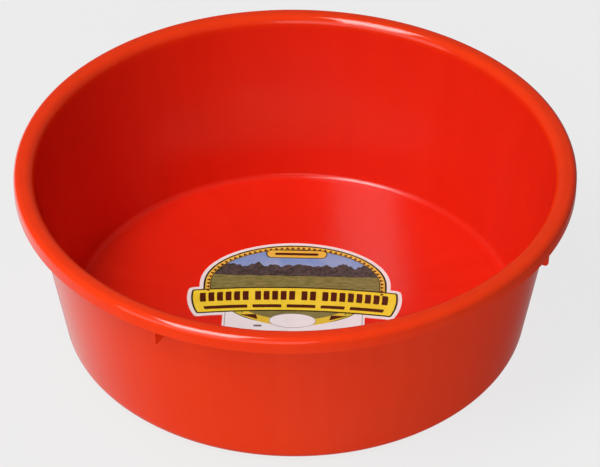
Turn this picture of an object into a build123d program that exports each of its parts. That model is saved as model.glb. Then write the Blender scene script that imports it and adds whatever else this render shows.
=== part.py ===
"""Round moulded feed bucket (a low feed pan) with a rolled rim, four stacking ribs and a floor label.

Millimetres, +Z up. The origin is the centre of the underside, on the surface the pan stands on.
The front of the pan, where the foot of the label lies, faces -Y.

The pan is one moulding. It is written as regions that meet face to face, so that each stays a
simple solid of revolution, and the label is a printed film on a layer of adhesive.
"""

import os
from math import cos, radians, sin, tan

from build123d import *

# ---- Driving dimensions -------------------------------------------------------------------------

rim_diameter = 304.8        # 12 in over the rim
height = 104.0              # a nominal 4 in
base_diameter = 254.0       # 10 in, where the outside of the wall would meet the ground
wall_taper = 9.5            # degrees from vertical
wall = 2.4                  # thickness of wall and skirt
crown_thickness = 2.3       # thickness of the top of the rim
crown_rise = 0.5            # how far the top of the rim bulges between its edges

foot_height = 0.6           # how far the underside of the floor stands off the ground
foot_inner_radius = 110.0   # inside edge of the ring that the pan stands on
foot_slope = 1.5            # width of the slope from that ring up to the floor
gutter_level = 2.2          # floor level in the shallow gutter round its edge
floor_level = 2.8           # floor level inside the gutter
floor_radius = 118.4        # radius of the flat floor inside the gutter
outer_corner = 9.4          # outside radius between wall and foot
inner_corner = 4.0          # inside radius between wall and gutter

skirt_bottom = 94.7         # lower edge of the turned-down skirt of the rim
inner_edge = 5.5            # radius of the inner edge of the rim
outer_edge = 3.5            # radius of the outer edge of the rim
skirt_corner = 2.0          # radius inside the rim, between its top and its skirt
wall_corner = 2.0           # radius inside the rim, between its top and the wall
lip_round = 0.7             # rounding of the free edge of the skirt
step_round = 0.4            # rounding of the step down into the gutter

rib_count = 4
first_rib_angle = -28.0     # degrees from +X to the first stacking rib
rib_thickness = 1.6
rib_bottom = 84.5           # lower edge of the stacking ribs
rib_corner = 2.0            # rounding of a rib's outer lower corner
rib_root = 0.6              # how far a rib is started inside the wall and the crown

gate_diameter = 6.0         # injection gate mark in the middle of the underside
gate_proud = 0.4            # how far the gate mark stands down from the floor
gate_taper = 30.0           # degrees

seam_radius = 114.0         # where floor panel and base corner meet
seam_base = 14.0            # height where base corner and side wall meet
seam_rim = 99.1             # height where side wall and skirt meet the top of the rim
seam_channel = 147.0        # radius in the open channel between wall and skirt

film_thickness = 0.2        # printed film of the label
adhesive_thickness = 0.1    # adhesive layer under it
label_turn = -2.0           # degrees: the label is stuck on slightly askew
label_offset = -0.6         # sideways place of the label's axis
label_shift = 0.8           # place of its origin along Y
arch_width = 108.0
arch_spring = 20.0          # where the sides of the arch start to lean in
arch_top = 58.0
band_top = 19.6             # at the middle of the band, which bows upwards
band_height = 26.1          # at its middle
band_top_width = 119.2      # between its upper corners
band_foot_width = 110.4     # between its lower corners
band_top_rise = 4.4         # how far its upper edge bows up
band_foot_rise = 4.1        # how far its lower edge bows up
band_side_bulge = 2.6       # how far its ends bow outwards
band_corner = 2.2
panel_width = 79.5
panel_bottom = -44.0
panel_corner = 2.5

# ---- Worked-out dimensions ----------------------------------------------------------------------

rim_radius = rim_diameter / 2
skirt_inner_radius = rim_radius - wall
crown_end = height - crown_rise
crown_underside = crown_end - crown_thickness
foot_start = foot_inner_radius - foot_slope
beyond_rim = rim_radius + 1
wall_across = wall / cos(radians(wall_taper))


def outside_radius(level):
    """Radius of the outside of the tapered wall at a height above the ground."""
    return base_diameter / 2 + level * tan(radians(wall_taper))


def inside_radius(level):
    """Radius of the inside of the tapered wall at a height above the ground."""
    return outside_radius(level) - wall_across


# ---- Section of the whole moulding --------------------------------------------------------------

with BuildSketch(Plane.XZ) as section:
    with BuildLine():
        Polyline(
            (inside_radius(crown_end), crown_end),
            (inside_radius(gutter_level), gutter_level),
            (floor_radius, gutter_level),
            (floor_radius, floor_level),
            (0, floor_level),
            (0, foot_height),
            (foot_start, foot_height),
            (foot_inner_radius, 0),
            (outside_radius(0), 0),
            (outside_radius(crown_underside), crown_underside),
            (skirt_inner_radius, crown_underside),
            (skirt_inner_radius, skirt_bottom),
            (rim_radius, skirt_bottom),
            (rim_radius, crown_end),
        )
        ThreePointArc(
            (rim_radius, crown_end),
            ((rim_radius + inside_radius(crown_end)) / 2, height),
            (inside_radius(crown_end), crown_end),
        )
    make_face()


def corner(sketch, across, up):
    """The corner of a sketch that is nearest to a place on its plane."""
    return sketch.vertices().sort_by_distance(Vector(across, up))[0]


with section:
    fillet(corner(section, inside_radius(crown_end), crown_end), inner_edge)
    fillet(corner(section, rim_radius, crown_end), outer_edge)
    fillet(corner(section, skirt_inner_radius, crown_underside), skirt_corner)
    fillet(corner(section, outside_radius(crown_underside), crown_underside), wall_corner)
    fillet(corner(section, skirt_inner_radius, skirt_bottom), lip_round)
    fillet(corner(section, rim_radius, skirt_bottom), lip_round)
    fillet(corner(section, outside_radius(0), 0), outer_corner)
    fillet(corner(section, inside_radius(gutter_level), gutter_level), inner_corner)
    fillet(corner(section, floor_radius, floor_level), step_round)


# ---- The moulding, region by region -------------------------------------------------------------

def save(piece, name):
    """Label a finished piece and write it to its own file."""
    piece.part.label = name
    export_step(piece.part, f"parts/{name}.step")


def region(low, high, inner, outer):
    """The moulding between two heights and two radii, as a solid of revolution."""
    with BuildPart() as piece:
        with BuildSketch(Plane.XZ):
            add(section.sketch_local)
            with Locations(((inner + outer) / 2, (low + high) / 2)):
                Rectangle(outer - inner, high - low, mode=Mode.INTERSECT)
        revolve(axis=Axis.Z)
    return piece


os.makedirs("parts", exist_ok=True)

foot_ring = region(0, foot_height, 0, beyond_rim)
base_corner = region(foot_height, seam_base, seam_radius, beyond_rim)
side_wall = region(seam_base, seam_rim, seam_radius, seam_channel)
rim_skirt = region(skirt_bottom, seam_rim, seam_channel, beyond_rim)
rim_crown = region(seam_rim, height, seam_radius, beyond_rim)

# The floor, with the gate mark under its middle.
floor_disc = region(foot_height, floor_level, 0, seam_radius)
with BuildPart() as floor_panel:
    add(floor_disc.part)
    with BuildSketch(Plane.XY.offset(foot_height)):
        Circle(gate_diameter / 2)
    extrude(amount=-gate_proud, taper=gate_taper)

save(foot_ring, "foot_ring")
save(floor_panel, "floor_panel")
save(base_corner, "base_corner")
save(side_wall, "side_wall")
save(rim_skirt, "rim_skirt")
save(rim_crown, "rim_crown")


# ---- Stacking ribs ------------------------------------------------------------------------------

def stacking_rib(angle):
    """One upright fin that spans the channel under the rim and hangs below its skirt.

    The blade starts inside the wall and the top of the rim, which are then cut away from it.
    """
    outward = Vector(cos(radians(angle)), sin(radians(angle)), 0)
    sideways = Vector(sin(radians(angle)), -cos(radians(angle)), 0)
    rib_top = crown_underside + rib_root
    with BuildPart() as rib:
        with BuildSketch(Plane(origin=(0, 0, 0), x_dir=outward, z_dir=sideways)) as blade:
            with BuildLine():
                Polyline(
                    (outside_radius(rib_bottom) - rib_root, rib_bottom),
                    (skirt_inner_radius, rib_bottom),
                    (skirt_inner_radius, rib_top),
                    (outside_radius(rib_top) - rib_root, rib_top),
                    close=True,
                )
            make_face()
            fillet(corner(blade, skirt_inner_radius, rib_bottom), rib_corner)
        extrude(amount=rib_thickness / 2, both=True)
        add(side_wall.part, mode=Mode.SUBTRACT)
        add(rim_skirt.part, mode=Mode.SUBTRACT)
        add(rim_crown.part, mode=Mode.SUBTRACT)
    return rib


for number in range(rib_count):
    rib = stacking_rib(first_rib_angle + number * 360 / rib_count)
    save(rib, f"stacking_rib_{number + 1}")


# ---- Label --------------------------------------------------------------------------------------

def label_plane(level):
    """The label's own plane, turned a little about the middle of the pan."""
    across = Vector(cos(radians(label_turn)), sin(radians(label_turn)), 0)
    return Plane(origin=(label_offset, label_shift, level), x_dir=across, z_dir=(0, 0, 1))


def mirrored(point):
    """The same place on the other side of the label's axis."""
    return Vector(-point.X, point.Y)


# The die-cut outline: an arch over a bowed band, with a plain panel below.
with BuildSketch() as label_outline:
    with Locations((0, arch_spring)):
        Ellipse(arch_width / 2, arch_top - arch_spring)
    with Locations((0, arch_spring)):
        Rectangle(arch_width, arch_spring, align=(Align.CENTER, Align.MAX))
    with BuildSketch() as band:
        band_foot = band_top - band_height
        top_right = Vector(band_top_width / 2, band_top - band_top_rise)
        foot_right = Vector(band_foot_width / 2, band_foot - band_foot_rise)
        side_middle = (top_right + foot_right) / 2 + Vector(band_side_bulge, 0)
        with BuildLine():
            ThreePointArc(mirrored(top_right), (0, band_top), top_right)
            ThreePointArc(top_right, side_middle, foot_right)
            ThreePointArc(foot_right, (0, band_foot), mirrored(foot_right))
            ThreePointArc(mirrored(foot_right), mirrored(side_middle), mirrored(top_right))
        make_face()
        fillet(band.vertices(), band_corner)
    with BuildSketch() as panel:
        with Locations((0, 0)):
            Rectangle(panel_width, -panel_bottom, align=(Align.CENTER, Align.MAX))
        fillet(panel.vertices().group_by(Axis.Y)[0], panel_corner)

with BuildPart() as label_adhesive:
    with BuildSketch(label_plane(floor_level)):
        add(label_outline.sketch_local)
    extrude(amount=adhesive_thickness)
save(label_adhesive, "label_adhesive")

with BuildPart() as label_film:
    with BuildSketch(label_plane(floor_level + adhesive_thickness)):
        add(label_outline.sketch_local)
    extrude(amount=film_thickness)
save(label_film, "label_film")
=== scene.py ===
"""Looks of the feed bucket: one glossy moulding, four stacking ribs and a printed label.

Metres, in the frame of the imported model: +Z up, origin at the centre of the underside, the foot of
the label towards -Y. Profiles and the label are drawn in millimetres and scaled as they are built.
"""

import random
from math import atan2, ceil, cos, pi, radians, sin, tan

import bmesh
import bpy
from mathutils import Matrix, Vector, geometry, noise


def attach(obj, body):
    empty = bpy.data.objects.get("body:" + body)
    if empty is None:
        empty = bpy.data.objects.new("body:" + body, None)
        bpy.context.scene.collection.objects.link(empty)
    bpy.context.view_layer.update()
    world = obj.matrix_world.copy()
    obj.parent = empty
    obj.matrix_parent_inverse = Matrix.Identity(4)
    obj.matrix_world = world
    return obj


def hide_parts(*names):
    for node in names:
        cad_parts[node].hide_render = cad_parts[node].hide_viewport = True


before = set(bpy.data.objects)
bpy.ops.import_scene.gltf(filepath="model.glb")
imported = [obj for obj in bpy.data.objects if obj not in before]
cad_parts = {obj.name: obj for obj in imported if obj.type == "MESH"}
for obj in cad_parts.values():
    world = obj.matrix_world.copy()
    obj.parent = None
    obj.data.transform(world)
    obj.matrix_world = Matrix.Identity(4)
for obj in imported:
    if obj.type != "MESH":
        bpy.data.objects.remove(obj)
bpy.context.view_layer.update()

MM = 0.001

# ---- Dimensions of the pan, in millimetres ------------------------------------------------------

RIM_RADIUS = 152.4
HEIGHT = 104.0
BASE_RADIUS = 127.0          # where the outside of the wall would meet the ground
TAPER = radians(9.5)
WALL = 2.4
WALL_ACROSS = WALL / cos(TAPER)
CROWN_END = 103.8            # height of the crown at its two edges
CROWN_UNDERSIDE = 101.2
INNER_EDGE = 5.5             # radius of the inner edge of the rim
OUTER_EDGE = 3.5             # radius of the outer edge of the rim
SKIRT_INNER = RIM_RADIUS - WALL
SKIRT_BOTTOM = 94.7
FLOOR_LEVEL = 2.8
FLOOR_RADIUS = 118.4
GUTTER_LEVEL = 2.2
FOOT_HEIGHT = 0.6
FOOT_INNER = 110.0
FOOT_SLOPE = 1.5
GATE_RADIUS = 3.0
GATE_PROUD = 0.4
OUTER_CORNER = 9.4           # outside radius between wall and foot
INNER_CORNER = 4.0           # inside radius between wall and gutter
CHANNEL_CORNER = 2.0         # radius in the two corners of the channel under the rim
LIP_ROUND = 0.7              # rounding of the free edge of the skirt
STEP_ROUND = 0.4             # rounding of the top of the step down into the gutter
STEP_FOOT_ROUND = 0.25       # rounding of its foot
STEP_DRAFT = 0.15            # how far the step leans outwards
FOOT_ROUND = 0.4             # rounding of the inside edge of the foot ring
FOOT_SLOPE_ROUND = 0.6       # rounding where its slope meets the floor
GATE_ROOT_ROUND = 0.3        # rounding where the gate mark meets the floor
GATE_ROUND = 0.2             # rounding of its edge

SEGMENTS = 320               # round the pan
LOOP_STEP = 5.0              # longest straight run in the profile between two loops
SAME_PLACE = 1e-6            # points nearer than this are one point


def outside_radius(level):
    """Radius of the outside of the wall at a height above the ground."""
    return BASE_RADIUS + level * tan(TAPER)


def inside_radius(level):
    """Radius of the inside of the wall at a height above the ground."""
    return outside_radius(level) - WALL_ACROSS


# How far the rim has settled out of round and out of level, in millimetres. Each pair is the cosine
# and sine part of one wave round the pan, then of two, then of three. It fades to nothing at the foot.
RIM_SPREAD = ((-0.13, -0.05), (-0.06, 0.13), (0.33, 0.16))
RIM_LIFT = ((0.0, 0.0), (0.17, -0.31))


def waves(parts, angle):
    """Sum of the waves round the pan at an angle."""
    total = 0.0
    for count, (cosine, sine) in enumerate(parts, start=1):
        total += cosine * cos(count * angle) + sine * sin(count * angle)
    return total


def settled(radius, angle, level):
    """A place on the moulding in metres, from millimetres, with the settling of its rim."""
    share = max(level, 0.0) / HEIGHT
    radius += share * waves(RIM_SPREAD, angle)
    level += share * waves(RIM_LIFT, angle)
    return (radius * cos(angle) * MM, radius * sin(angle) * MM, level * MM)


# ---- Helpers ------------------------------------------------------------------------------------

def add_object(name, mesh):
    """Link a mesh into the scene as an object."""
    item = bpy.data.objects.new(name, mesh)
    bpy.context.scene.collection.objects.link(item)
    return item


def mesh_from(name, built):
    """Turn a bmesh into a mesh and free it."""
    mesh = bpy.data.meshes.new(name)
    built.to_mesh(mesh)
    built.free()
    return mesh


def fillet_points(before, corner, after, radius, step=radians(9)):
    """Points of the arc that rounds one corner of a polygon."""
    to_before = (before - corner).normalized()
    to_after = (after - corner).normalized()
    half = to_before.angle(to_after) / 2
    # Two roundings on one side stay just clear of each other.
    reach = radius / tan(half)
    reach = min(reach, (before - corner).length * 0.499, (after - corner).length * 0.499)
    radius = reach * tan(half)
    centre = corner + (to_before + to_after).normalized() * (radius / sin(half))
    start = corner + to_before * reach - centre
    end = corner + to_after * reach - centre
    sweep = pi - 2 * half
    turn = 1 if start.x * end.y - start.y * end.x > 0 else -1
    count = max(2, ceil(sweep / step))
    points = []
    for index in range(count + 1):
        angle = turn * sweep * index / count
        spun = Vector((
            start.x * cos(angle) - start.y * sin(angle),
            start.x * sin(angle) + start.y * cos(angle),
        ))
        points.append(centre + spun)
    return points


def stretch(start, end, longest):
    """Evenly spaced points after a start, up to and with an end, no further apart than a longest step."""
    run = end - start
    parts = max(1, ceil(run.length / longest))
    return [start + run * (part / parts) for part in range(1, parts + 1)]


def rounded_line(corners, longest):
    """An open line through (across, up, rounding) corners, with long runs divided evenly."""
    places = [Vector((across, up)) for across, up, _ in corners]
    points = [places[0]]
    for index in range(1, len(corners) - 1):
        rounding = corners[index][2]
        if rounding:
            points += fillet_points(places[index - 1], places[index], places[index + 1], rounding)
        else:
            points.append(places[index])
    points.append(places[-1])
    divided = [points[0]]
    for point in points[1:]:
        if (point - divided[-1]).length >= SAME_PLACE:
            divided += stretch(divided[-1], point, longest)
    return divided


# ---- Materials ----------------------------------------------------------------------------------

# Sockets of a mix node, which has several of the same name.
MIX_SHARE = 0
MIX_NUMBERS = (2, 3)
MIX_COLOURS = (6, 7)
MIXED_NUMBER = 0
MIXED_COLOUR = 2


class Nodes:
    """Short calls for the nodes of a material or of the world."""

    def __init__(self, tree):
        self.nodes = tree.nodes
        self.links = tree.links

    def feed(self, source, socket):
        """Join an output, or set a plain value, to an input socket."""
        if isinstance(source, bpy.types.NodeSocket):
            self.links.new(source, socket)
        else:
            socket.default_value = source

    def math(self, kind, first, second=0.0, third=0.0, clamp=False):
        """One sum on numbers."""
        node = self.nodes.new("ShaderNodeMath")
        node.operation = kind
        node.use_clamp = clamp
        for value, socket in zip((first, second, third), node.inputs):
            self.feed(value, socket)
        return node.outputs[0]

    def vector(self, kind, first, second=(0.0, 0.0, 0.0), scale=1.0):
        """One sum on vectors."""
        node = self.nodes.new("ShaderNodeVectorMath")
        node.operation = kind
        self.feed(first, node.inputs[0])
        self.feed(second, node.inputs[1])
        if kind == "SCALE":
            self.feed(scale, node.inputs["Scale"])
        return node.outputs["Vector"]

    def span(self, value, low, high, new_low=0.0, new_high=1.0):
        """Map one range of a number to another, held at its ends."""
        node = self.nodes.new("ShaderNodeMapRange")
        self.feed(value, node.inputs["Value"])
        node.inputs["From Min"].default_value = low
        node.inputs["From Max"].default_value = high
        node.inputs["To Min"].default_value = new_low
        node.inputs["To Max"].default_value = new_high
        return node.outputs["Result"]

    def mix(self, share, first, second):
        """A colour between two colours."""
        node = self.nodes.new("ShaderNodeMix")
        node.data_type = "RGBA"
        self.feed(share, node.inputs[MIX_SHARE])
        self.feed(first, node.inputs[MIX_COLOURS[0]])
        self.feed(second, node.inputs[MIX_COLOURS[1]])
        return node.outputs[MIXED_COLOUR]

    def blend(self, share, first, second):
        """A number between two numbers."""
        node = self.nodes.new("ShaderNodeMix")
        node.data_type = "FLOAT"
        self.feed(share, node.inputs[MIX_SHARE])
        self.feed(first, node.inputs[MIX_NUMBERS[0]])
        self.feed(second, node.inputs[MIX_NUMBERS[1]])
        return node.outputs[MIXED_NUMBER]

    def split(self, source):
        """The three parts of a vector."""
        node = self.nodes.new("ShaderNodeSeparateXYZ")
        self.feed(source, node.inputs[0])
        return node.outputs

    def length(self, source):
        """The length of a vector."""
        node = self.nodes.new("ShaderNodeVectorMath")
        node.operation = "LENGTH"
        self.feed(source, node.inputs[0])
        return node.outputs["Value"]


class Surface(Nodes):
    """A new material with a Principled shader, placed in the object's own frame."""

    def __init__(self, name, roughness=0.4):
        self.material = bpy.data.materials.new(name)
        self.material.use_nodes = True
        super().__init__(self.material.node_tree)
        self.shader = self.nodes["Principled BSDF"]
        self.shader.inputs["Roughness"].default_value = roughness
        self.place = self.nodes.new("ShaderNodeTexCoord").outputs["Object"]

    def noise(self, scale, detail=3.0, place=None, roughness=0.5, distortion=0.0):
        """Smooth noise, about 0 to 1."""
        node = self.nodes.new("ShaderNodeTexNoise")
        self.feed(place or self.place, node.inputs["Vector"])
        node.inputs["Scale"].default_value = scale
        node.inputs["Detail"].default_value = detail
        node.inputs["Roughness"].default_value = roughness
        node.inputs["Distortion"].default_value = distortion
        return node.outputs["Fac"]

    def bump(self, height, distance, strength=1.0, under=None):
        """Relief from a height of 0 to 1, over a distance in metres."""
        node = self.nodes.new("ShaderNodeBump")
        self.feed(height, node.inputs["Height"])
        node.inputs["Distance"].default_value = distance
        node.inputs["Strength"].default_value = strength
        if under:
            self.feed(under, node.inputs["Normal"])
        return node.outputs["Normal"]

    def set(self, name, source):
        """Feed one input of the shader."""
        self.feed(source, self.shader.inputs[name])


def rgb(red, green, blue):
    """A linear colour with full alpha."""
    return (red, green, blue, 1.0)


def pan_plastic():
    """Glossy orange-red polyethylene: flow streaks out from the gate, faint scuffs, orange peel, a painted
    sheen outside and painted shade inside.
    """
    surface = Surface("moulded_polyethylene", 0.3)
    up = surface.split(surface.place)["Z"]
    # Streaks run out from the gate and up the wall, so they are laid out by direction alone.
    flat = surface.vector("MULTIPLY", surface.place, (1.0, 1.0, 0.0))
    outward = surface.vector("NORMALIZE", flat)
    drift = surface.vector("SCALE", surface.place, scale=3.0)
    ray = surface.vector("ADD", surface.vector("SCALE", outward, scale=11.0), drift)
    streaks = surface.noise(1.0, 4.0, ray, 0.55)
    clouds = surface.noise(14.0, 2.0)
    tone = surface.math("MULTIPLY_ADD", streaks, 0.55, surface.math("MULTIPLY", clouds, 0.45))
    tone = surface.span(tone, 0.35, 0.65)
    # Two copies of the red, both varied by the flow streaks: a deeper one is painted shade, a paler orange
    # one is painted sheen.
    painted_shade_red = surface.mix(tone, rgb(0.780, 0.0170, 0.0046), rgb(0.820, 0.0205, 0.0058))
    painted_sheen_orange = surface.mix(tone, rgb(0.850, 0.0370, 0.0034), rgb(0.890, 0.0430, 0.0043))
    # Painted light: the outside of the wall and the rim take the paler orange copy as a painted sheen, and
    # the inside keeps the deeper red copy as painted shade.
    distance = surface.length(flat)
    middle = surface.math("MULTIPLY_ADD", up, tan(TAPER), (BASE_RADIUS - WALL / 2) * MM)
    beyond = surface.span(surface.math("SUBTRACT", distance, middle), -0.0005, 0.0005)
    on_rim = surface.span(up, 0.0970, 0.1020)
    body = surface.mix(surface.math("MAXIMUM", beyond, on_rim), painted_shade_red, painted_sheen_orange)
    # Handling scuffs: short pale scratches, mostly near the foot and on the rim.
    stretched = surface.vector("MULTIPLY", surface.place, (420.0, 420.0, 60.0))
    scratches = surface.span(surface.noise(1.0, 5.0, stretched, 0.7, 1.2), 0.665, 0.72)
    low_down = surface.span(up, 0.004, 0.018, 1.0, 0.0)
    high_up = surface.span(up, 0.094, 0.101, 0.0, 0.55)
    worn = surface.math("MULTIPLY", surface.math("ADD", low_down, high_up, clamp=True), scratches)
    worn = surface.math("MULTIPLY", worn, surface.span(surface.noise(30.0), 0.45, 0.65))
    surface.set("Base Color", surface.mix(surface.math("MULTIPLY", worn, 0.35), body, rgb(0.86, 0.10, 0.05)))
    smears = surface.noise(22.0, 4.0, distortion=0.6)
    # The rim has kept its polish; the inside of the wall is the dullest.
    rough = surface.span(smears, 0.3, 0.7, 0.15, 0.21)
    rough = surface.math("MULTIPLY_ADD", on_rim, -0.08, rough)
    above_floor = surface.span(up, 0.004, 0.030)
    below_rim = surface.span(up, 0.080, 0.104, 1.0, 0.0)
    inner_wall = surface.math("MULTIPLY", above_floor, below_rim)
    inner_wall = surface.math("MULTIPLY", inner_wall, surface.math("SUBTRACT", 1.0, beyond))
    rough = surface.math("MULTIPLY_ADD", inner_wall, 0.05, rough)
    rough = surface.math("MULTIPLY_ADD", worn, 0.2, rough)
    surface.set("Roughness", rough)
    peel = surface.noise(520.0, 2.0)
    waves = surface.noise(45.0, 1.0)
    relief = surface.bump(waves, 0.00012, 0.35)
    surface.set("Normal", surface.bump(peel, 0.00002, 0.5, relief))
    surface.shader.inputs["IOR"].default_value = 1.53
    return surface.material


# ---- The moulding -------------------------------------------------------------------------------

def arc_points(centre, radius, start, end, step=radians(7)):
    """Points of an arc between two directions from its centre."""
    count = ceil(abs(end - start) / step)
    turns = [start + (end - start) * index / count for index in range(count + 1)]
    return [centre + Vector((cos(turn), sin(turn))) * radius for turn in turns]


def crown_line():
    """The top of the rim from its inner wall to its skirt: a flat arc between two rounded edges."""
    half = (RIM_RADIUS - inside_radius(CROWN_END)) / 2
    rise = HEIGHT - CROWN_END
    bend = (half ** 2 + rise ** 2) / (2 * rise)
    middle = Vector((RIM_RADIUS - half, HEIGHT - bend))
    # The inner edge touches the wall and the arc; the outer edge touches the skirt and the arc.
    up_wall = Vector((sin(TAPER), cos(TAPER)))
    into_wall = Vector((cos(TAPER), -sin(TAPER)))
    foot = Vector((inside_radius(0), 0)) + into_wall * INNER_EDGE - middle
    along = foot.dot(up_wall)
    climb = (bend - INNER_EDGE) ** 2 - foot.length_squared + along ** 2
    inner = middle + foot + up_wall * (climb ** 0.5 - along)
    outer_across = RIM_RADIUS - OUTER_EDGE - middle.x
    outer = middle + Vector((outer_across, ((bend - OUTER_EDGE) ** 2 - outer_across ** 2) ** 0.5))
    inner_turn = atan2(inner.y - middle.y, inner.x - middle.x)
    outer_turn = atan2(outer.y - middle.y, outer.x - middle.x)
    points = arc_points(inner, INNER_EDGE, pi - TAPER, inner_turn)
    points += arc_points(middle, bend, inner_turn, outer_turn, radians(2))[1:-1]
    points += arc_points(outer, OUTER_EDGE, outer_turn, 0.0)
    return points


def pan_profile():
    """Half the section of the pan, from the middle of the floor round the rim to the gate mark."""
    crown = crown_line()
    inside = [
        (0.0, FLOOR_LEVEL, 0),
        (FLOOR_RADIUS, FLOOR_LEVEL, STEP_ROUND),
        (FLOOR_RADIUS + STEP_DRAFT, GUTTER_LEVEL, STEP_FOOT_ROUND),
        (inside_radius(GUTTER_LEVEL), GUTTER_LEVEL, INNER_CORNER),
        (crown[0].x, crown[0].y, 0),
    ]
    outside = [
        (crown[-1].x, crown[-1].y, 0),
        (RIM_RADIUS, SKIRT_BOTTOM, LIP_ROUND),
        (SKIRT_INNER, SKIRT_BOTTOM, LIP_ROUND),
        (SKIRT_INNER, CROWN_UNDERSIDE, CHANNEL_CORNER),
        (outside_radius(CROWN_UNDERSIDE), CROWN_UNDERSIDE, CHANNEL_CORNER),
        (outside_radius(0), 0.0, OUTER_CORNER),
        (FOOT_INNER, 0.0, FOOT_ROUND),
        (FOOT_INNER - FOOT_SLOPE, FOOT_HEIGHT, FOOT_SLOPE_ROUND),
        (GATE_RADIUS, FOOT_HEIGHT, GATE_ROOT_ROUND),
        (GATE_RADIUS - GATE_PROUD / 2, FOOT_HEIGHT - GATE_PROUD, GATE_ROUND),
        (0.0, FOOT_HEIGHT - GATE_PROUD, 0),
    ]
    return rounded_line(inside, LOOP_STEP) + crown[1:-1] + rounded_line(outside, LOOP_STEP)


def pan_moulding():
    """The whole moulding as one closed mesh turned about the pan's axis."""
    built = bmesh.new()
    profile = pan_profile()
    top_centre = built.verts.new((0, 0, profile[0].y * MM))
    bottom_centre = built.verts.new((0, 0, profile[-1].y * MM))
    rings = []
    for point in profile[1:-1]:
        ring = []
        for index in range(SEGMENTS):
            angle = 2 * pi * index / SEGMENTS
            ring.append(built.verts.new(settled(point.x, angle, point.y)))
        rings.append(ring)
    for index in range(SEGMENTS):
        following = (index + 1) % SEGMENTS
        built.faces.new((top_centre, rings[0][index], rings[0][following]))
        built.faces.new((bottom_centre, rings[-1][following], rings[-1][index]))
        for inner, outer in zip(rings, rings[1:]):
            built.faces.new((inner[index], outer[index], outer[following], inner[following]))
    for face in built.faces:
        face.smooth = True
    return add_object("pan_moulding", mesh_from("pan_moulding", built))


# ---- Stacking ribs ------------------------------------------------------------------------------

RIB_COUNT = 4
FIRST_RIB = radians(-28.0)
RIB_BOTTOM = 84.5
RIB_THICKNESS = 1.6
RIB_THINNING = 0.25          # how much thinner a rib is at its lower edge
RIB_SUNK = 0.5               # how far a rib's edges run into the wall, the skirt and the crown
RIB_EDGE = 0.3               # rounding of its free edges
RIB_CORNER = 2.0             # rounding of its outer lower corner
RIB_ROOT_CORNER = 0.5        # rounding where its outer edge runs into the skirt
RIB_PROUD = 0.05             # how far its outer lower corner stands out past the inside of the skirt
RIB_SHARP = radians(60)      # edges that turn by more than this are rounded
RIB_RUN_IN = 1.2             # height above the lower edge of the skirt where it is fully sunk
RIB_STRAY = (1.1, 0.0, 0.0, -0.5)   # degrees by which each rib strays from even spacing


def stacking_rib(number, angle):
    """One upright fin in the channel under the rim, tapered downwards and rounded at its edges."""
    top = CROWN_UNDERSIDE + RIB_SUNK
    corners = [
        (outside_radius(top) - RIB_SUNK, top, 0),
        (outside_radius(RIB_BOTTOM) - RIB_SUNK, RIB_BOTTOM, 0),
        (SKIRT_INNER + RIB_PROUD, RIB_BOTTOM, RIB_CORNER),
        (SKIRT_INNER + RIB_SUNK, SKIRT_BOTTOM + RIB_RUN_IN, RIB_ROOT_CORNER),
        (SKIRT_INNER + RIB_SUNK, top, 0),
    ]
    outline = rounded_line(corners, 20.0)
    built = bmesh.new()
    sides = []
    for side in (-1, 1):
        verts = []
        for point in outline:
            share = (point.y - RIB_BOTTOM) / (top - RIB_BOTTOM)
            half = (RIB_THICKNESS - RIB_THINNING * (1 - share)) / 2
            turn = angle + side * half / point.x
            verts.append(built.verts.new(settled(point.x, turn, point.y)))
        sides.append(verts)
    count = len(outline)
    built.faces.new(sides[0])
    built.faces.new(list(reversed(sides[1])))
    for index in range(count):
        following = (index + 1) % count
        built.faces.new((sides[0][following], sides[0][index], sides[1][index], sides[1][following]))
    bmesh.ops.recalc_face_normals(built, faces=built.faces)
    rims = [edge for edge in built.edges if edge.is_manifold and edge.calc_face_angle(0) > RIB_SHARP]
    bmesh.ops.bevel(built, geom=rims, offset=RIB_EDGE * MM, segments=3, affect="EDGES", profile=0.5)
    for face in built.faces:
        face.smooth = True
    item = add_object(f"rib_{number}", mesh_from(f"rib_{number}", built))
    item.modifiers.new("even_shading", "WEIGHTED_NORMAL").keep_sharp = True
    return item


# ---- Label --------------------------------------------------------------------------------------

LABEL_TURN = radians(-2.0)
LABEL_OFFSET = -0.6
LABEL_SHIFT = 0.8
FILM_BOTTOM = 2.9
FILM_TOP = 3.1
ARCH_HALF = 54.0
ARCH_SPRING = 20.0
ARCH_RISE = 38.0
BAND_TOP = 19.6              # at its middle
BAND_FOOT = -6.5             # at its middle
BAND_HEIGHT = BAND_TOP - BAND_FOOT
BAND_TOP_HALF = 59.6         # half the width between its upper corners
BAND_FOOT_HALF = 55.2        # half the width between its lower corners
BAND_TOP_RISE = 4.4          # how far its upper edge bows up
BAND_FOOT_RISE = 4.1         # how far its lower edge bows up
BAND_SIDE_BULGE = 2.6        # how far its ends bow outwards
BAND_CORNER = 2.2
PANEL_HALF = 39.75
PANEL_BOTTOM = -44.0
PANEL_TOP = 2.0              # out of sight under the band
BORDER = 2.2                 # white border outside the print
LINE = 1.05                  # dark line round the print
TRIM = 2.6                   # width of the tan border of the arch
TRIM_LINE = 0.5              # thin dark line inside it
TOOTH_PITCH = 3.1            # spacing of the teeth along that border
TOOTH_INSET = 2.4            # how far in from the dark line the teeth stand
TOOTH_HALF = 1.2             # half the width of a tooth
TOOTH_LENGTH = 2.1
TEETH_START = 12.0           # height on the label where the row of teeth starts and ends
RIBBON_HALF = 31.5           # half the width of the ellipse that both edges of the ribbon follow
RIBBON_SAG = 17.0            # half its height
RIBBON_FOOT = -0.5           # its middle, for the lower edge
RIBBON_TOP = 5.0             # its middle, for the upper edge
RIBBON_START = 205           # degrees round the ellipse
RIBBON_SWEEP = 130
RIBBON_STEPS = 24
UPRIGHTS_LEFT = -52.6        # where the row of upright bars on the band starts
UPRIGHT_WIDTH = 3.3
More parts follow.
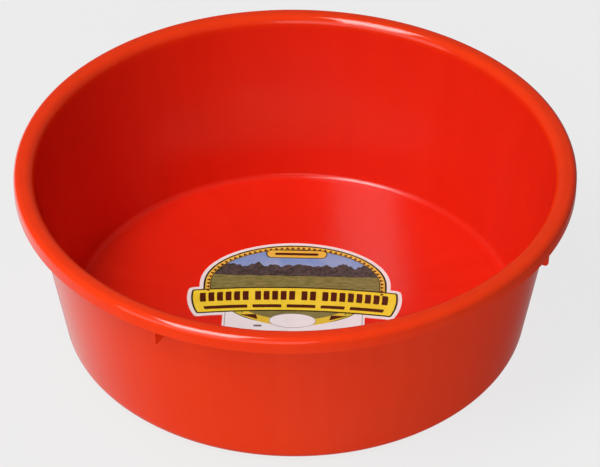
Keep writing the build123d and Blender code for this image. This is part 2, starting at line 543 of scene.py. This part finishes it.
UPRIGHT_PITCH = 4.75
UPRIGHT_GAP = 2.1            # added between two groups
DASHES_LEFT = -51.5          # where the row of dashes below them starts
DASH_UNIT = 2.75             # every dash is a whole number of these long
DASH_GAP = 3.0
SKYLINE_MARGIN = 4           # how far a skyline runs on past the arch
SKYLINE_FOOT = 2.0           # its lower edge, out of sight under the band
LABEL_GRID = 2.4             # spacing of the points that let the film ripple
LABEL_JITTER = 0.5           # how far those points stray


def bowed(across, up):
    """A place on the band from its distance across and its distance above the lower edge."""
    share = up / BAND_HEIGHT
    half = BAND_FOOT_HALF + (BAND_TOP_HALF - BAND_FOOT_HALF) * share
    half += BAND_SIDE_BULGE * 4 * share * (1 - share)
    wide = across / BAND_TOP_HALF
    foot = BAND_FOOT - BAND_FOOT_RISE * wide ** 2
    top = BAND_TOP - BAND_TOP_RISE * wide ** 2
    return Vector((half * wide, foot + (top - foot) * share))


def rounded_box(left, right, low, high, rounding, step=1.0):
    """A closed rounded rectangle whose sides are divided finely enough to bow."""
    corners = [
        Vector((left, low)),
        Vector((right, low)),
        Vector((right, high)),
        Vector((left, high)),
    ]
    # The roundings stay just under half a side, so that two arcs never touch.
    rounding = min(rounding, (right - left) / 2.01, (high - low) / 2.01)
    points = []
    for index, corner in enumerate(corners):
        arc = fillet_points(corners[index - 1], corner, corners[(index + 1) % 4], rounding, radians(18))
        if points:
            points += stretch(points[-1], arc[0], step)[:-1]
        points += arc
    return points + stretch(points[-1], points[0], step)[:-1]


def arch(inset):
    """The arched upper part of the label, drawn in from its edge all round."""
    half = ARCH_HALF - inset
    rise = ARCH_RISE - inset
    points = [Vector((-half, 0.0)), Vector((half, 0.0))]
    steps = 72
    for index in range(steps + 1):
        angle = pi * index / steps
        points.append(Vector((half * cos(angle), ARCH_SPRING + rise * sin(angle))))
    return points


def band(inset):
    """The bowed band, drawn in from its edge all round."""
    corner = max(BAND_CORNER - inset * 0.5, 0.6)
    return bar(-BAND_TOP_HALF + inset, BAND_TOP_HALF - inset, inset, BAND_HEIGHT - inset, corner)


def bar(left, right, low, high, rounding=0.5):
    """A plain rounded bar that follows the bow of the band."""
    return [bowed(point.x, point.y) for point in rounded_box(left, right, low, high, rounding)]


def panel(inset, rounding):
    """The panel under the band, drawn in from its edge at the sides and the foot."""
    half = PANEL_HALF - inset
    return rounded_box(-half, half, PANEL_BOTTOM + inset, PANEL_TOP, rounding)


def skyline(base, swing, pitch, seed):
    """A closed area below a soft uneven line, wider than the label."""
    steps = int(2 * ARCH_HALF / pitch)
    edge = ARCH_HALF + SKYLINE_MARGIN
    points = [Vector((edge, SKYLINE_FOOT)), Vector((edge, base))]
    for index in range(steps + 1):
        across = ARCH_HALF - 2 * ARCH_HALF * index / steps
        height = noise.fractal(Vector((across * 0.16, seed, 0.0)), 0.8, 2.2, 4)
        points.append(Vector((across, base + swing * height)))
    return points + [Vector((-edge, base)), Vector((-edge, SKYLINE_FOOT))]


def ellipse(across, up, half, rise, steps=56):
    """A closed ellipse."""
    angles = [2 * pi * index / steps for index in range(steps)]
    return [Vector((across + half * cos(angle), up + rise * sin(angle))) for angle in angles]


def ribbon():
    """A plain curved ribbon under the band."""
    lower = []
    upper = []
    for index in range(RIBBON_STEPS + 1):
        turn = radians(RIBBON_START + RIBBON_SWEEP * index / RIBBON_STEPS)
        across = RIBBON_HALF * cos(turn)
        lower.append(Vector((across, RIBBON_FOOT + RIBBON_SAG * sin(turn))))
        upper.append(Vector((across, RIBBON_TOP + RIBBON_SAG * sin(turn))))
    return lower + upper[::-1]


def ribbon_end(side):
    """The dark fold at one end of the ribbon."""
    places = ((30.0, -8.0), (21.0, -7.5), (20.0, -12.0))
    corners = [Vector((side * across, up)) for across, up in places]
    return corners if side > 0 else corners[::-1]


def label_regions():
    """Every printed area, lowest first, as (name, outline), in millimetres on the label."""
    return [
        ("film", arch(0)),
        ("film", band(0)),
        ("film", panel(0, 2.5)),
        ("hairline", panel(1.2, 1.5)),
        ("white", panel(1.6, 1.3)),
        ("line", ellipse(0.0, 3.0, 38.3, 19.6)),
        ("bowl", ellipse(0.0, 3.0, 37.8, 19.1)),
        ("olive", ellipse(0.0, -4.0, 30.0, 10.5)),
        ("ribbon", ribbon()),
        ("ink", ribbon_end(-1)),
        ("ink", ribbon_end(1)),
        ("hairline", ellipse(-0.5, -12.8, 13.2, 6.4)),
        ("white", ellipse(-0.5, -12.8, 12.8, 6.0)),
        ("line", arch(BORDER)),
        ("trim", arch(BORDER + LINE)),
        ("line", arch(BORDER + LINE + TRIM)),
        ("sky", arch(BORDER + LINE + TRIM + TRIM_LINE)),
        ("hedge", skyline(37.5, 4.0, 0.8, 7.0)),
        ("field", skyline(27.5, 0.8, 2.5, 21.0)),
        ("line", rounded_box(-17.5, 17.5, 44.0, 51.6, 3.5)),
        ("trim", rounded_box(-16.9, 16.9, 44.6, 51.0, 2.9)),
        ("ink", rounded_box(-12.5, 12.5, 46.7, 48.9, 1.0)),
        ("line", band(BORDER)),
        ("yellow", band(BORDER + LINE)),
    ]


def border_teeth():
    """A plain row of evenly spaced triangular teeth along the tan border of the arch."""
    path = arch(BORDER + LINE + TOOTH_INSET)[1:]
    side = path[0].x
    path = [Vector((side, TEETH_START))] + path[1:] + [Vector((-side, TEETH_START))]
    teeth = []
    travelled = 0.0
    for start, end in zip(path, path[1:]):
        along = (end - start).normalized()
        outwards = Vector((along.y, -along.x))
        run = (end - start).length
        while travelled < run:
            foot = start + along * travelled
            tip = foot + outwards * TOOTH_LENGTH
            teeth.append(("ink", [foot - along * TOOTH_HALF, tip, foot + along * TOOTH_HALF]))
            travelled += TOOTH_PITCH
        travelled -= run
    return teeth


def band_bars():
    """Plain upright bars and dashes in place of printing on the band."""
    bars = []
    across = UPRIGHTS_LEFT
    for group in (6, 5, 2, 8):
        for _ in range(group):
            bars.append(("ink", bar(across, across + UPRIGHT_WIDTH, 12.2, 20.3)))
            across += UPRIGHT_PITCH
        across += UPRIGHT_GAP
    across = DASHES_LEFT
    for parts in (9, 6, 6, 5, 7):
        length = parts * DASH_UNIT
        bars.append(("ink", bar(across, across + length, 5.4, 8.2)))
        across += length + DASH_GAP
    return bars


def panel_bars():
    """Plain bars on the lower panel."""
    bars = []
    for row, (left, right) in enumerate(((-22.0, -17.5), (-24.0, -2.0), (-24.0, 25.0), (-24.0, 18.0))):
        low = -18.6 - row * 5.0
        bars.append(("grey", rounded_box(left, right, low, low + 1.7, 0.4)))
    return bars


def ripple(place):
    """How far the film stands proud at a place on the label, in millimetres."""
    slow = noise.noise(Vector((place.x * 0.055, place.y * 0.075, 3.0)))
    quick = noise.noise(Vector((place.x * 0.17, place.y * 0.13, 9.0)))
    return 0.045 * slow + 0.018 * quick


def label_points(regions):
    """Points and outlines of the printed areas, with a loose grid of points that lets the film ripple."""
    points = []
    outlines = []
    for _, outline in regions:
        outlines.append(list(range(len(points), len(points) + len(outline))))
        points += outline
    draw = random.Random(11)
    across = -BAND_TOP_HALF
    while across < BAND_TOP_HALF:
        up = PANEL_BOTTOM
        while up < ARCH_SPRING + ARCH_RISE:
            stray_across = draw.uniform(-LABEL_JITTER, LABEL_JITTER)
            stray_up = draw.uniform(-LABEL_JITTER, LABEL_JITTER)
            points.append(Vector((across, up)) + Vector((stray_across, stray_up)))
            up += LABEL_GRID
        across += LABEL_GRID
    return points, outlines


def facing(face, upwards):
    """The same face, turned over if it looks the wrong way."""
    face.normal_update()
    if (face.normal.z > 0) != upwards:
        face.normal_flip()
    return face


def label_film(materials):
    """The printed film: one closed sheet whose top is divided into the printed areas."""
    regions = label_regions() + border_teeth() + band_bars() + panel_bars()
    points, outlines = label_points(regions)
    places, _, triangles, _, _, owners = geometry.delaunay_2d_cdt(points, [], outlines, 0, 1e-5, True)
    built = bmesh.new()
    below = {}
    tops = {}
    turn = Matrix.Rotation(LABEL_TURN, 2)

    def stand(index):
        """The top point of the film at a place, made with the one below it when it is first asked for."""
        if index not in tops:
            spot = turn @ places[index] + Vector((LABEL_OFFSET, LABEL_SHIFT))
            lift = ripple(places[index])
            tops[index] = built.verts.new((spot.x * MM, spot.y * MM, (FILM_TOP + lift) * MM))
            below[tops[index]] = built.verts.new((spot.x * MM, spot.y * MM, FILM_BOTTOM * MM))
        return tops[index]

    kinds = list(dict.fromkeys(name for name, _ in regions))
    for triangle, owner in zip(triangles, owners):
        names = [regions[index][0] for index in sorted(owner)]
        if "film" not in names:
            continue
        # The hedge and the field are printed only where there is sky.
        if "sky" not in names:
            names = [name for name in names if name not in ("hedge", "field")]
        corners = [stand(index) for index in triangle]
        top = facing(built.faces.new(corners), True)
        top.material_index = kinds.index(names[-1])
        facing(built.faces.new([below[corner] for corner in corners]), False)
    edges = [edge for edge in built.edges if edge.is_boundary and all(end in below for end in edge.verts)]
    for first, second in [edge.verts[:] for edge in edges]:
        built.faces.new((first, second, below[second], below[first]))
    bmesh.ops.recalc_face_normals(built, faces=built.faces)
    item = add_object("label_print", mesh_from("label_print", built))
    for kind in kinds:
        item.data.materials.append(materials[kind])
    return item


def label_materials():
    """One material for each printed colour, all on the same semi-gloss film."""
    made = {}
    plain = {
        "film": (rgb(0.86, 0.81, 0.80), rgb(0.90, 0.86, 0.85)),
        "line": (rgb(0.016, 0.013, 0.002), rgb(0.026, 0.020, 0.005)),
        "trim": (rgb(0.82, 0.50, 0.06), rgb(0.88, 0.57, 0.09)),
        "yellow": (rgb(0.88, 0.66, 0.035), rgb(0.94, 0.74, 0.055)),
        "bowl": (rgb(0.56, 0.44, 0.030), rgb(0.64, 0.52, 0.045)),
        "olive": (rgb(0.17, 0.165, 0.050), rgb(0.26, 0.24, 0.080)),
        "ribbon": (rgb(0.74, 0.54, 0.040), rgb(0.80, 0.60, 0.060)),
        "white": (rgb(0.84, 0.84, 0.85), rgb(0.89, 0.89, 0.90)),
        "hairline": (rgb(0.30, 0.27, 0.27), rgb(0.38, 0.34, 0.33)),
        "ink": (rgb(0.070, 0.012, 0.004), rgb(0.095, 0.016, 0.006)),
        "grey": (rgb(0.16, 0.15, 0.16), rgb(0.24, 0.22, 0.23)),
    }
    for name, (dark, light) in plain.items():
        surface = label_surface(name)
        surface.set("Base Color", surface.mix(surface.span(surface.noise(160.0, 4.0), 0.3, 0.7), dark, light))
        made[name] = surface.material
    sky = label_surface("sky")
    high = sky.span(sky.split(sky.place)["Y"], 0.030, 0.052)
    wisps = sky.math("MULTIPLY", sky.span(sky.noise(70.0, 4.0, distortion=0.4), 0.45, 0.75), 0.35)
    blue = sky.mix(high, rgb(0.30, 0.42, 0.66), rgb(0.15, 0.28, 0.62))
    sky.set("Base Color", sky.mix(wisps, blue, rgb(0.55, 0.60, 0.75)))
    made["sky"] = sky.material
    hedge = label_surface("hedge")
    leaves = hedge.span(hedge.noise(420.0, 5.0, roughness=0.7), 0.35, 0.68)
    hedge.set("Base Color", hedge.mix(leaves, rgb(0.022, 0.026, 0.026), rgb(0.12, 0.10, 0.09)))
    made["hedge"] = hedge.material
    field = label_surface("field")
    stretched = field.vector("MULTIPLY", field.place, (180.0, 620.0, 1.0))
    grass = field.span(field.noise(1.0, 4.0, stretched), 0.3, 0.7)
    field.set("Base Color", field.mix(grass, rgb(0.150, 0.150, 0.040), rgb(0.29, 0.26, 0.085)))
    made["field"] = field.material
    return made


def label_surface(name):
    """Semi-gloss printed film with faint grain."""
    surface = Surface(f"label_{name}", 0.38)
    surface.set("Roughness", surface.span(surface.noise(260.0, 3.0), 0.3, 0.7, 0.26, 0.36))
    surface.shader.inputs["Specular IOR Level"].default_value = 0.2
    surface.set("Normal", surface.bump(surface.noise(1400.0, 2.0), 0.00001, 0.6))
    return surface


def adhesive_material():
    """Milky adhesive that shows only at the label's edge."""
    surface = Surface("milky_adhesive", 0.6)
    share = surface.span(surface.noise(300.0, 4.0), 0.3, 0.7)
    surface.set("Base Color", surface.mix(share, rgb(0.52, 0.42, 0.34), rgb(0.66, 0.58, 0.50)))
    surface.set("Roughness", surface.span(surface.noise(180.0), 0.3, 0.7, 0.5, 0.75))
    surface.set("Normal", surface.bump(surface.noise(900.0), 0.00003, 0.6))
    return surface.material


# ---- Build the object ---------------------------------------------------------------------------

plastic = pan_plastic()

moulding = pan_moulding()
moulding.data.materials.append(plastic)
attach(moulding, "root")
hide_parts("floor_panel", "foot_ring", "base_corner", "side_wall", "rim_crown", "rim_skirt")

for number in range(1, RIB_COUNT + 1):
    stray = radians(RIB_STRAY[number - 1])
    rib = stacking_rib(number, FIRST_RIB + stray + (number - 1) * 2 * pi / RIB_COUNT)
    rib.data.materials.append(plastic)
    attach(rib, "root")
    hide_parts(f"stacking_rib_{number}")

film = label_film(label_materials())
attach(film, "root")
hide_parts("label_film")

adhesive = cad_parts["label_adhesive"]
for slot in adhesive.material_slots:
    slot.material = adhesive_material()


# ---- Floor, light and camera --------------------------------------------------------------------

FLOOR_SIZE = 6.0             # metres from the middle of the floor to its edge
FLOOR_GAP = 0.0001           # metres from the floor up to the foot of the pan


def studio_floor():
    """A plain pale floor, bright enough of itself that shadows on it stay faint."""
    built = bmesh.new()
    bmesh.ops.create_grid(built, x_segments=1, y_segments=1, size=FLOOR_SIZE)
    for vert in built.verts:
        vert.co.z = -FLOOR_GAP
    item = add_object("studio_floor", mesh_from("studio_floor", built))
    surface = Surface("floor_paper", 0.9)
    surface.shader.inputs["Base Color"].default_value = rgb(0.07, 0.07, 0.07)
    surface.shader.inputs["Specular IOR Level"].default_value = 0.0
    surface.shader.inputs["Emission Color"].default_value = rgb(1.0, 1.0, 1.0)
    surface.shader.inputs["Emission Strength"].default_value = 0.778
    item.data.materials.append(surface.material)
    item.visible_glossy = False


LIGHT_DISTANCE = 2.5         # metres from the pan to each light
ROOM_STRENGTH = 0.10         # of the room above the floor


def softbox(name, direction, breadth, length, power, toward=(0.0, 0.0, 1.0)):
    """A soft area light that faces the pan, with its length laid towards another direction."""
    light = bpy.data.lights.new(name, "AREA")
    light.shape = "RECTANGLE"
    light.size = breadth
    light.size_y = length
    light.energy = power
    lamp = bpy.data.objects.new(name, light)
    bpy.context.scene.collection.objects.link(lamp)
    aim = Vector(direction).normalized()
    target = Vector((0.0, 0.0, HEIGHT * MM / 2))
    breadthways = Vector(toward).cross(aim).normalized()
    lengthways = aim.cross(breadthways)
    turn = Matrix((breadthways, lengthways, aim)).transposed()
    lamp.matrix_world = Matrix.Translation(target + aim * LIGHT_DISTANCE) @ turn.to_4x4()


def room_light(tree):
    """An even dim room above the floor; below it, the gloss sees a paper sweep, palest behind left."""
    room = Nodes(tree)
    way = room.split(room.nodes.new("ShaderNodeTexCoord").outputs["Generated"])
    behind = room.math("MULTIPLY", way["Y"], 0.8)
    behind_left = room.math("SUBTRACT", behind, room.math("MULTIPLY", way["X"], 0.6))
    share = room.span(behind_left, -0.4, 0.85)
    sweep = room.math("MULTIPLY", room.math("POWER", share, 4.0), 0.95)
    sweep = room.math("ADD", sweep, 0.05)
    below = room.math("LESS_THAN", way["Z"], 0.0)
    backdrop = room.nodes["Background"]
    backdrop.inputs["Color"].default_value = rgb(1.0, 1.0, 1.0)
    room.feed(room.blend(below, ROOM_STRENGTH, sweep), backdrop.inputs["Strength"])


def compass(height, round_pan):
    """A direction from its height above the floor and its turn from +X, in degrees."""
    lift = radians(height)
    turn = radians(round_pan)
    return (cos(turn) * cos(lift), sin(turn) * cos(lift), sin(lift))


def studio_light():
    """Two softboxes in a bank high at the front left, a large low fill under them and a dim room."""
    top = compass(68.5, 208)
    front = compass(51.2, 228.3)
    softbox("bank_top", top, 0.9, 1.3, 29.0, front)
    softbox("bank_front", front, 0.9, 1.2, 24.5, top)
    softbox("low_fill", compass(18, 240), 3.6, 1.9, 26.0)
    world = bpy.data.worlds.new("studio")
    bpy.context.scene.world = world
    world.use_nodes = True
    room_light(world.node_tree)


CAMERA_DISTANCE = 1.7731      # metres from the origin
CAMERA_HEIGHT_ANGLE = radians(38.78)
CAMERA_TARGET = Vector((0.00279, 0.0, 0.05507))
CAMERA_ROLL = radians(-0.04)
CAMERA_LENS = 189.55


def studio_camera():
    """A long lens from above the front, aimed just above the middle of the pan."""
    data = bpy.data.cameras.new("camera")
    data.sensor_width = 36.0
    data.lens = CAMERA_LENS
    data.clip_start = 0.1
    data.clip_end = 50.0
    item = bpy.data.objects.new("camera", data)
    bpy.context.scene.collection.objects.link(item)
    back = -CAMERA_DISTANCE * cos(CAMERA_HEIGHT_ANGLE)
    lift = CAMERA_DISTANCE * sin(CAMERA_HEIGHT_ANGLE)
    place = Vector((0.0, back, lift))
    forward = (CAMERA_TARGET - place).normalized()
    level = forward.cross(Vector((0.0, 0.0, 1.0))).normalized()
    upright = level.cross(forward)
    right = level * cos(CAMERA_ROLL) + upright * sin(CAMERA_ROLL)
    up = -level * sin(CAMERA_ROLL) + upright * cos(CAMERA_ROLL)
    turn = Matrix((right, up, -forward)).transposed()
    item.matrix_world = Matrix.Translation(place) @ turn.to_4x4()
    bpy.context.scene.camera = item


studio_floor()
studio_light()
studio_camera()
bpy.context.scene.view_settings.view_transform = "Standard"
